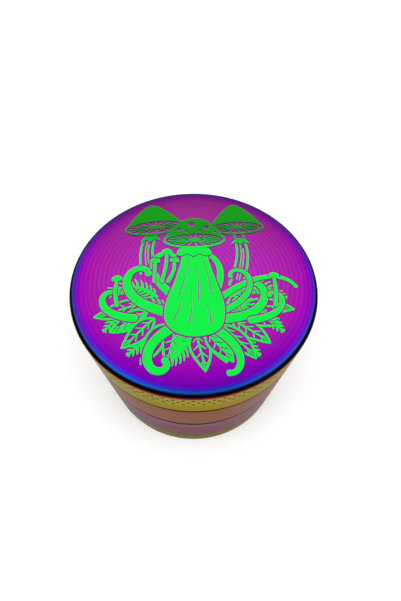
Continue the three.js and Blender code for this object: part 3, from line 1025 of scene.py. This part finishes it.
# %% Finishes of the small pieces
def even_colour(low, high, bottom, top):
    """A colour that changes a little from bottom to top"""
    def colour(tree, radius, axes):
        return ramp(tree, remap(tree, axes[2], bottom, top), [(0.0, low), (1.0, high)])
    return colour


# The wires are lighter on top and darker below: painted shade on their undersides and on the wires that
# pass beneath
screen_steel = turned_finish("screen_steel", even_colour(
    (150, 152, 156), (206, 208, 212), SCREEN_MIDDLE - 0.12 * MM, SCREEN_MIDDLE + 0.12 * MM),
    0.28, (0.9, 0.9, 0.9), ring_shade=0.08)
magnet_nickel = turned_finish("magnet_nickel", even_colour(
    (196, 196, 200), (214, 214, 216), 0.0, LID_TOP), 0.18, (0.95, 0.95, 0.95), ring_pitch=0.4 * MM,
    ring_shade=0.05, ring_depth=0.004 * MM)


def nylon_finish():
    """Milky white plastic with a faint grain and slightly yellowed patches"""
    material, tree, shader = new_material("nylon")
    worn = {"Roughness": 0.42, "Patch Scale": 260.0}
    hands = put(tree, "ShaderNodeGroup", worn, node_tree=HANDLING)
    warm = remap(tree, hands.outputs["Shade"], -0.25, 0.25)
    feed(shader, {
        "Base Color": mix(tree, warm, linear(236, 233, 222), linear(222, 215, 196)),
        "Roughness": hands.outputs["Roughness"], "Normal": grain(tree, 2600.0, 0.5)})
    return material


nylon = nylon_finish()


# %% Screen
wires = int(2 * SCREEN_RADIUS / WIRE_PITCH)
screen_mesh = run_tree(screen_tree(), bpy.data.meshes.new("wires"), {
    "Wires": wires, "Pitch": WIRE_PITCH, "Radius": SCREEN_RADIUS - WIRE_RADIUS,
    "Wire Radius": WIRE_RADIUS, "Middle": SCREEN_MIDDLE, "Material": screen_steel})
add_piece("woven_screen", screen_mesh, screen_steel, "screen", "mesh_screen",
          sharp=80.0, even_normals=False)
print("wires each way:", wires)


# %% Rings and magnets
def small_piece(name, node, wall, body, material, ease):
    """A ring of the given wall, or a disc where wall is None, as large as its node"""
    low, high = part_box(node)
    outer, bottom, top = high[0], low[2], high[2]
    inner = outer - wall if wall else 0.0
    corners = range(4) if wall else (1, 2)
    mesh = turned(name, [(inner, bottom), (outer, bottom), (outer, top), (inner, top)],
                  dict.fromkeys(corners, ease), loop=bool(wall))
    add_piece(name, mesh, material, body, node)


small_piece("retaining_ring", "screen_ring", 1.5 * MM, "screen", screen_steel, 0.2 * MM)
small_piece("nylon_glide_ring", "glide_ring", 1.7 * MM, "glide_ring", nylon, 0.25 * MM)
small_piece("lid_magnet_disc", "lid_magnet", None, "lid", magnet_nickel, 0.25 * MM)
small_piece("plate_magnet_disc", "plate_magnet", None, "plate_magnet", magnet_nickel,
            0.25 * MM)

# %% [markdown]
# ## The picture on the lid
#
# The lid carries a picture in raised green enamel: toadstools in a wreath of leaves, ferns
# and curling tendrils. It could be an image texture, but enamel has an edge and a height,
# so it is made as real relief. The picture is drawn into `ink`, a grid that holds for each
# point its distance to the nearest enamel edge, below zero inside. Lines then join
# smoothly, a margin can be cleared round a stem, and an edge can be traced at any point.
# It is drawn in millimetres on the lid's face and scaled once, when it becomes a mesh.

# %% The ink grid
INK_CELL = 0.09
INK_HALF = 27.9
LINE = 0.5
ink_axis = np.arange(-INK_HALF, INK_HALF + INK_CELL, INK_CELL)
ink = np.full((len(ink_axis), len(ink_axis)), 9.0)


def ink_window(points, reach):
    """The part of the grid round some points, and the places of its cells"""
    low = ((points.min(axis=0) - reach + INK_HALF) / INK_CELL).astype(int).clip(0)
    high = ((points.max(axis=0) + reach + INK_HALF) / INK_CELL).astype(int) + 1
    xs, ys = np.meshgrid(ink_axis[low[0]:high[0]], ink_axis[low[1]:high[1]])
    return (slice(low[1], high[1]), slice(low[0], high[0])), xs, ys


def from_segment(xs, ys, start, end):
    """Distance to a segment, and how far along it the nearest point lies"""
    dx, dy = end[0] - start[0], end[1] - start[1]
    t = ((xs - start[0]) * dx + (ys - start[1]) * dy) / max(dx * dx + dy * dy, 1e-9)
    t = t.clip(0, 1)
    return np.hypot(xs - start[0] - t * dx, ys - start[1] - t * dy), t


# %% Pens: stroke, scratch, fill and clear
def line_distance(points, width, end_width):
    points = np.asarray(points, float)
    halves = np.linspace(width, width if end_width is None else end_width, len(points)) / 2
    where, xs, ys = ink_window(points, halves.max() + 0.6)
    nearest = np.full(xs.shape, 9.0)
    for start, end, half, next_half in zip(points, points[1:], halves, halves[1:]):
        away, t = from_segment(xs, ys, start, end)
        nearest = np.minimum(nearest, away - half - t * (next_half - half))
    return where, nearest


def area_distance(points):
    points = np.asarray(points, float)
    where, xs, ys = ink_window(points, 0.6)
    nearest = np.full(xs.shape, 9.0)
    inside = np.zeros(xs.shape, bool)
    for start, end in zip(points, np.roll(points, -1, axis=0)):
        nearest = np.minimum(nearest, from_segment(xs, ys, start, end)[0])
        if start[1] != end[1]:
            slope = (end[0] - start[0]) / (end[1] - start[1])
            crossed = (ys >= min(start[1], end[1])) & (ys < max(start[1], end[1]))
            inside ^= crossed & (xs < start[0] + (ys - start[1]) * slope)
    return where, np.where(inside, -nearest, nearest)


def stroke(points, width=LINE, end_width=None):
    where, distance = line_distance(points, width, end_width)
    ink[where] = np.minimum(ink[where], distance)


def scratch(points, width=LINE, end_width=None):
    where, distance = line_distance(points, width, end_width)
    ink[where] = np.maximum(ink[where], -distance)


def fill(points):
    where, distance = area_distance(points)
    ink[where] = np.minimum(ink[where], distance)


def clear(points, margin=0.0):
    where, distance = area_distance(points)
    ink[where] = np.maximum(ink[where], margin - distance)


def dot(place, size):
    stroke([place, np.add(place, 0.001)], size)


def hole(place, size):
    scratch([place, np.add(place, 0.001)], size)


# %% Smooth lines and placing
def through(points, steps=8, loop=False):
    """A smooth line through a few points"""
    p = np.asarray(points, float)
    p = np.vstack([p[-1:], p, p[:2]]) if loop else np.vstack([2 * p[0] - p[1], p, 2 * p[-1] - p[-2]])
    t = np.linspace(0, 1, steps, endpoint=False)[:, None]
    spans = [0.5 * (2 * b + (c - a) * t + (2 * a - 5 * b + 4 * c - d) * t ** 2
                    + (3 * b - a - 3 * c + d) * t ** 3) for a, b, c, d in zip(p, p[1:], p[2:], p[3:])]
    return np.vstack(spans + ([] if loop else [p[-2:-1]]))


def placed(points, at, angle=0.0):
    """Points turned by an angle in degrees and moved"""
    c, s = cos(radians(angle)), sin(radians(angle))
    return np.asarray(points, float) @ np.array([[c, s], [-s, c]]) + np.asarray(at, float)


def oval(half_width, half_height, at=(0, 0), angle=0.0, start=0, end=360, steps=48):
    a = np.radians(np.linspace(start, end, steps + 1))[: steps if end - start == 360 else None]
    return placed(np.c_[half_width * np.cos(a), half_height * np.sin(a)], at, angle)


def outline(points, width=LINE):
    """The outline of a shape, with what lies behind it cleared away"""
    clear(points)
    stroke(np.vstack([points, points[:1]]), width)


# %% Leaf and frond
def leaf(at, angle, length, width, veins=4, solid_half=False):
    """A pointed leaf that grows along the angle, with a midrib and side veins"""
    along = np.linspace(0, 1, 23)
    half = width / 2 * np.sin(pi * along ** 0.8) ** 0.9
    bend = 0.10 * length * np.sin(pi * along / 2) ** 2
    left = np.c_[along * length, bend + half]
    right = np.c_[along * length, bend - half][::-1]
    outline(placed(np.vstack([left, right[1:-1]]), at, angle))
    rib = np.c_[along * length, bend]
    if solid_half:
        fill(placed(np.vstack([left, rib[::-1]]), at, angle))
    stroke(placed(rib[:-2], at, angle), LINE, 0.6 * LINE)
    for k in range(veins):
        share = (k + 1) / (veins + 1)
        reach = 0.30 * width * sin(pi * share ** 0.8) ** 0.9
        middle = 0.10 * length * sin(pi * share / 2) ** 2
        for side in (-1, 1):
            vein = placed([((share - 0.05) * length, middle),
                           ((share + 0.07) * length, middle + side * reach)], at, angle)
            pen = scratch if solid_half and side > 0 else stroke
            pen(vein, 0.55 * LINE, 0.4 * LINE)


def frond(points, leaflets, size):
    """A fern: a stem with paired leaflets that shrink towards its tip"""
    stem = through(points, 10)
    run = np.r_[0, np.cumsum(np.hypot(*np.diff(stem, axis=0).T))]
    stroke(stem, 0.7, 0.35)
    for k in range(leaflets):
        share = (k + 0.6) / leaflets
        spots = [np.array([np.interp(s, run, stem[:, i]) for i in (0, 1)])
                 for s in (share * run[-1], share * run[-1] + 0.3)]
        heading = np.degrees(atan2(*(spots[1] - spots[0])[::-1]))
        long = size * sin(pi * (0.18 + 0.8 * share)) ** 0.8
        for side in (-1, 1):
            bend, end = (0.26 * long, side * 0.48 * long), (0.6 * long, side * 0.77 * long)
            leaflet = through([(0, 0), bend, end], 4)
            stroke(placed(leaflet, spots[0], heading), 0.42 + 0.1 * size, 0.22)


# %% Tendril
def tendril(start, heading, length, curl, width, end_width=None):
    """A stem that winds ever tighter. curl is how far it turns in all, in degrees"""
    steps = 44
    points = [np.array(start, float)]
    angle = radians(heading)
    for k in range(steps):
        share = (k + 1) / steps
        angle += radians(curl) / steps * (0.2 + 2.0 * share ** 1.5)
        stride = length / steps * (1.3 - 0.8 * share)
        points.append(points[-1] + stride * np.array([cos(angle), sin(angle)]))
    tip = 0.5 * width if end_width is None else end_width
    scratch(points, width + 0.75, tip + 0.75)
    stroke(points, width, tip)
    dot(points[-1], 1.25 * tip)


# %% Toadstools
def cap(top, half, dome, angle, gills, peak, spots=()):
    """A cap seen from a little below: its gilled underside, and the crown behind"""
    a = np.linspace(0, pi, 33)
    arch = np.c_[1.03 * half * np.cos(a), dome * (1 - np.abs(np.cos(a)) ** peak)]
    brim = np.c_[half * np.cos(a[::-1]), 0.27 * half * np.sin(a[::-1]) + 0.05 * half]
    crown = placed(np.vstack([arch, brim]), top, angle)
    clear(placed(np.vstack([arch, arch[:1]]), top, angle), 0.25)
    outline(oval(half, 0.32 * half, top, angle), LINE)
    for k in range(gills):
        a = 360 * (k + 0.5) / gills
        inner = oval(0.32 * half, 0.10 * half, top, angle, a, a + 1, 1)[0]
        outer = oval(0.86 * half, 0.26 * half, top, angle, a, a + 1, 1)[0]
        stroke([inner, outer], 0.22)
    fill(oval(0.22 * half, 0.08 * half, top, angle))
    fill(crown)
    for across, up, size in spots:
        hole(placed([(across * half, up * dome)], top, angle)[0], size * half)


def tall_toadstool(foot, top, half, dome, angle, lean):
    """A toadstool drawn in line, with a slim hollow-looking stem"""
    foot, top = np.array(foot, float), np.array(top, float)
    middle = through([top, (foot + top) / 2 + [lean, 0], foot], 10)
    run = np.gradient(middle, axis=0)
    across = np.c_[-run[:, 1], run[:, 0]] / np.hypot(*run.T)[:, None]
    wide = np.linspace(0.15 * half, 0.23 * half, len(middle))[:, None]
    left, right = middle + across * wide, middle - across * wide
    clear(np.vstack([left, right[::-1]]), 0.3)
    stroke(left, 1.1 * LINE)
    stroke(right, 1.1 * LINE)
    for share, start in ((0.62, 8), (0.40, 4)):
        stroke(left[start:-2] * share + right[start:-2] * (1 - share), 0.3, 0.2)
    cap(top, half, dome, angle, 15, 1.55)
    ring = middle[5]
    skirt = placed([(-0.34 * half, -0.16 * half), (-0.17 * half, 0.10 * half), (0.17 * half, 0.10 * half),
                    (0.34 * half, -0.16 * half), (0.12 * half, -0.06 * half), (0, -0.17 * half),
                    (-0.12 * half, -0.06 * half)], ring, angle)
    clear(skirt, 0.25)
    fill(skirt)


def small_toadstool(foot, height, width, lean=0.0):
    foot = np.array(foot, float)
    top = foot + [lean, height]
    stem = through([foot, (foot + top) / 2 + [0.4 * lean, 0], top], 6)
    scratch(stem, 1.5)
    stroke(stem, 0.95, 0.75)
    crown = oval(width / 2, 0.46 * width, top, -6 * lean, 0, 180, 16)
    clear(crown, 0.3)
    fill(np.vstack([crown, placed([(-0.42 * width, -0.16 * width), (0.42 * width, -0.16 * width)],
                                  top, -6 * lean)]))


def great_toadstool():
    """The solid toadstool in the middle"""
    stem = through([(-2.7, 10), (-3.1, 5), (-4.6, -2), (-6.7, -9), (-6.5, -14), (-3.4, -17), (1.6, -17.6),
                    (6.2, -15.6), (7.4, -10), (5.9, -3.4), (3.9, 4), (2.9, 10)], 8, loop=True)
    clear(stem, 0.45)
    fill(stem)
    for x0, x1, y0, y1 in ((-1.3, -3.5, 5.0, -6.5), (0.5, 1.2, 2.5, -8.0), (2.2, 4.4, 5.0, -6.5),
                           (-2.8, -4.6, -7.0, -13.5), (-0.6, -0.9, -5.5, -14.5), (3.0, 4.0, -9.0, -14.5)):
        scratch(through([(x0, y0), ((x0 + x1) / 2 + 0.35, (y0 + y1) / 2), (x1, y1)], 6), 0.16, 0.32)
    skirt = through([(-4.5, 6.6), (-2.6, 9.2), (2.8, 9.2), (4.8, 6.6), (3.2, 5.9), (1.5, 6.6), (0, 5.7),
                     (-1.6, 6.6), (-3.2, 5.8)], 6, loop=True)
    clear(skirt, 0.35)
    fill(skirt)
    spots = ((-0.50, 0.50, 0.17), (-0.08, 0.72, 0.24), (0.42, 0.56, 0.20),
             (-0.26, 0.40, 0.10), (0.20, 0.44, 0.11), (0.70, 0.34, 0.10))
    cap((0.2, 11.4), 8.2, 8.2, 2, 19, 2.4, spots)


# %% The whole picture
def wreath(first, last, count, leaf_length):
    """Leaves that stand out from an oval round the foot of the toadstools"""
    for k, angle in enumerate(np.linspace(first, last, count)):
        a = radians(angle)
        foot = (12.5 * cos(a), -7.0 + 9.2 * sin(a))
        spread = 1.0 - 0.12 * abs(sin(a))
        heading = angle + 10 * sin(3.1 * k)
        leaf(foot, heading, leaf_length * spread * (1 + 0.10 * cos(2.3 * k)), 4.3, 4, k % 3 == 1)


def draw_picture():
    tall_toadstool((-11.6, 0.0), (-11.0, 16.2), 8.0, 8.8, 9, -1.2)
    tall_toadstool((10.6, -4.0), (12.0, 16.2), 7.4, 9.0, 3, 1.6)
    for side in (-1, 1):
        for stem, leaflets, size in (
                ([(5, -11), (11, -9.5), (16.5, -12), (20.5, -16.5)], 15, 3.3),
                ([(2, -15), (6.5, -16.5), (11, -19), (14.5, -22.3)], 13, 2.9),
                ([(9, -7), (13.5, -4.5), (18, -4.5), (22.5, -7.5)], 13, 2.9)):
            frond([(side * x, y) for x, y in stem], leaflets, size)
    frond([(-0.6, -16), (-1.4, -19), (-3.4, -22), (-6.6, -24.6)], 11, 2.6)
    wreath(193, 252, 5, 10.8)
    wreath(347, 288, 5, 10.8)
    leaf((0.6, -16.5), -84, 9.4, 4.4)
    leaf((3.0, -16.5), -58, 9.0, 3.9, 4, True)
    for plant in (
            ((-3.5, -8.0), 142, 24.0, -205, 2.2), ((-3.0, -12.0), 172, 30.0, -245, 2.7),
            ((-3.0, -14.5), 205, 22.0, 285, 2.6), ((4.0, -15.0), -35, 17.0, -150, 2.2),
            ((3.0, -13.0), -6, 29.0, 285, 2.5), ((4.0, -9.0), 62, 25.0, 215, 1.9),
            ((4.0, -9.5), 42, 28.0, -105, 1.8, 0.8), ((5.0, -12.0), 22, 25.0, 255, 1.6),
            ((-14.0, -13.0), 176, 17.0, -250, 2.0), ((13.5, -13.5), 8, 17.0, 240, 1.8)):
        tendril(*plant)
    for plant in (
            ((-8.0, -2.5), 9.4, 2.9, 0.9), ((-6.4, -2.5), 6.6, 2.4, 1.4),
            ((-9.8, -2.5), 6.4, 2.5, -0.2), ((-18.4, -9.5), 7.6, 2.7, -0.9),
            ((19.6, -9.5), 8.6, 2.7, 0.7)):
        small_toadstool(*plant)
    great_toadstool()
    # Nothing may reach past the bevel, where the metal falls away under the enamel
    np.maximum(ink, np.hypot(*np.meshgrid(ink_axis, ink_axis)) - 28.6, out=ink)


draw_picture()
print("enamel covers", round(float((ink < 0).mean() * (2 * INK_HALF) ** 2 / (pi * (RADIUS / MM) ** 2)), 3))

# %% [markdown]
# ## From ink to enamel
#
# The grid is turned into outlines by marching squares: in each cell that the edge crosses,
# a short segment joins the two crossings, placed by the distances at the corners. The
# segments link up into closed loops, and points that lie on a straight run are dropped.
# Specks of ink and pinholes are left out, because enamel could not hold such small detail.
# The loops are filled to make the top of the enamel. A copy below it and a wall round it
# close the shape, and a bevel softens the rim as glaze does when it melts.


# %% Trace the edge of the ink
def crossing(first, second):
    """Where the edge lies between two neighbouring cells, given as (row, column)"""
    a, b = ink[first], ink[second]
    t = a / (a - b)
    row = first[0] + t * (second[0] - first[0])
    column = first[1] + t * (second[1] - first[1])
    return (column * INK_CELL - INK_HALF, row * INK_CELL - INK_HALF)


def trace_ink():
    wet = ink < 0
    corners = wet[:-1, :-1].astype(int) + wet[:-1, 1:] + wet[1:, 1:] + wet[1:, :-1]
    follow, place = {}, {}
    for row, column in np.argwhere((corners > 0) & (corners < 4)):
        ring = [(row, column), (row, column + 1), (row + 1, column + 1), (row + 1, column)]
        inside = [bool(wet[c]) for c in ring]
        sides = [(ring[i], ring[(i + 1) % 4]) for i in range(4)]
        leaving = [i for i in range(4) if inside[i] and not inside[(i + 1) % 4]]
        entering = [i for i in range(4) if not inside[i] and inside[(i + 1) % 4]]
        joined = ink[row:row + 2, column:column + 2].mean() < 0
        for k, start in enumerate(leaving):
            end = entering[k]
            if len(leaving) == 2:
                end = (start + 1) % 4 if joined else (start - 1) % 4
            first, second = frozenset(sides[start]), frozenset(sides[end])
            follow[first] = second
            place[first] = crossing(*sides[start])
            place[second] = crossing(*sides[end])
    return follow, place


def linked_loops(follow, place):
    loops = []
    while follow:
        start = here = next(iter(follow))
        loop = []
        while here in follow:
            loop.append(place[here])
            here = follow.pop(here)
        if here == start and len(loop) > 7:
            loops.append(np.array(loop))
    return loops


# %% Drop points on straight runs
def simplified(loop, tolerance=0.014, longest=28):
    kept, start = [], 0
    while start < len(loop):
        kept.append(loop[start])
        end = start + 1
        while end + 1 < len(loop) and end + 1 - start < longest:
            run = loop[end + 1] - loop[start]
            away = loop[start + 1:end + 1] - loop[start]
            off = np.abs(run[0] * away[:, 1] - run[1] * away[:, 0]) / max(np.hypot(*run), 1e-9)
            if off.max() > tolerance:
                break
            end += 1
        start = end
    return kept


def area(loop):
    """What the loop encloses, in square millimetres"""
    x, y = np.array(loop).T
    return 0.5 * abs(float(x @ np.roll(y, -1) - y @ np.roll(x, -1)))


SPECK = 0.10
ink_loops = [simplified(loop) for loop in linked_loops(*trace_ink())]
ink_loops = [loop for loop in ink_loops if len(loop) > 4 and area(loop) > SPECK]
print("enamel outlines:", len(ink_loops), "with", sum(map(len, ink_loops)), "points")

# %% Enamel relief
ENAMEL_HEIGHT = 0.22 * MM
ENAMEL_TOP = LID_TOP + ENAMEL_HEIGHT
ENAMEL_SUNK = LID_TOP - 0.12 * MM


def enamel_mesh():
    shape = bmesh.new()
    border = []
    for loop in ink_loops:
        ring = [shape.verts.new((x * MM, y * MM, ENAMEL_TOP)) for x, y in loop]
        border += [shape.edges.new(pair) for pair in zip(ring, ring[1:] + ring[:1])]
    bmesh.ops.triangle_fill(shape, use_beauty=True, edges=border, normal=(0, 0, 1))
    top = list(shape.faces)
    under = {vert: shape.verts.new((vert.co.x, vert.co.y, ENAMEL_SUNK)) for vert in list(shape.verts)}
    for edge in border:
        if len(edge.link_faces) == 1:
            first, second = edge.verts
            shape.faces.new((first, second, under[second], under[first]))
    for face in top:
        shape.faces.new([under[vert] for vert in reversed(face.verts)])
    print("enamel top", round(sum(face.calc_area() for face in top) / MM ** 2), "square mm")
    return as_mesh("lid_picture", shape)


# %% [markdown]
# ## Enamel finish
#
# Enamel is glassy, not metallic: a strong green with a soft shine. Towards the back of the
# lid it is darker. Its low walls are painted darker, painted shade where they face away from
# the light, and a thin paler line along the softened rim is a painted highlight. Height and
# depth in the object's coordinates drive all three.


# %% Enamel material
def enamel_finish():
    material, tree, shader = new_material("enamel")
    axes = round_place(tree)[1]
    depth = calc(tree, "DIVIDE", axes[1], RADIUS)
    to_back = remap(tree, depth, 0.24, 0.46, True)
    # Face, walls in painted shade, and rim in painted highlight, each darker towards the back
    face, wall, rim = [mix(tree, to_back, linear(*near), linear(*far)) for near, far in (
        ((2, 216, 60), (3, 137, 10)), ((6, 138, 48), (6, 84, 22)), ((70, 208, 128), (70, 156, 104)))]
    # low picks out the walls for the painted shade, edge the rim line for the painted highlight
    low = remap(tree, axes[2], ENAMEL_TOP - 0.10 * MM, ENAMEL_TOP - 0.16 * MM)
    edge = remap(tree, axes[2], ENAMEL_TOP - 0.005 * MM, ENAMEL_TOP - 0.03 * MM)
    worn = {"Roughness": 0.38, "Patch Scale": 160.0}
    hands = put(tree, "ShaderNodeGroup", worn, node_tree=HANDLING)
    colour = mix(tree, low, mix(tree, edge, face, rim), wall)
    value = calc(tree, "MULTIPLY_ADD", hands.outputs["Shade"], 0.16, 1.0)
    tinted = put(tree, "ShaderNodeHueSaturation", {"Color": colour, "Value": value}).outputs[0]
    feed(shader, {
        "Base Color": tinted, "Roughness": hands.outputs["Roughness"],
        "Normal": grain(tree, 900.0, 0.6), "Specular IOR Level": 0.08})
    return material


# %% Place the picture
picture = add_piece("lid_picture", enamel_mesh(), enamel_finish(), "lid",
                    sharp=40.0, even_normals=False)
softened = picture.modifiers.new("soft_rim", "BEVEL")
softened.width = 0.05 * MM
softened.segments = 1
softened.limit_method = "ANGLE"
softened.angle_limit = radians(60)
softened.harden_normals = False

# %% [markdown]
# ## Floor
#
# The grinder stands on a plain pale table inside the tent. The floor is wide enough to
# reach the horizon of every view, and it is only staging, not part of the object. Its
# paint has a faint unevenness so that it doesn't look computed.


# %% Floor
def floor_material():
    material, tree, shader = new_material("pale_table")
    uneven = noise_at(tree, 30.0, 2.0)
    feed(shader, {
        "Base Color": mix(tree, uneven, linear(254, 254, 254), linear(252, 252, 252)),
        "Roughness": 0.7, "Specular IOR Level": 0.1})
    return material


floor_shape = bmesh.new()
bmesh.ops.create_circle(floor_shape, cap_ends=True, radius=100 * RADIUS, segments=96)
floor_mesh = as_mesh("floor", floor_shape)
floor_mesh.materials.append(floor_material())
floor = new_object("floor", floor_mesh)
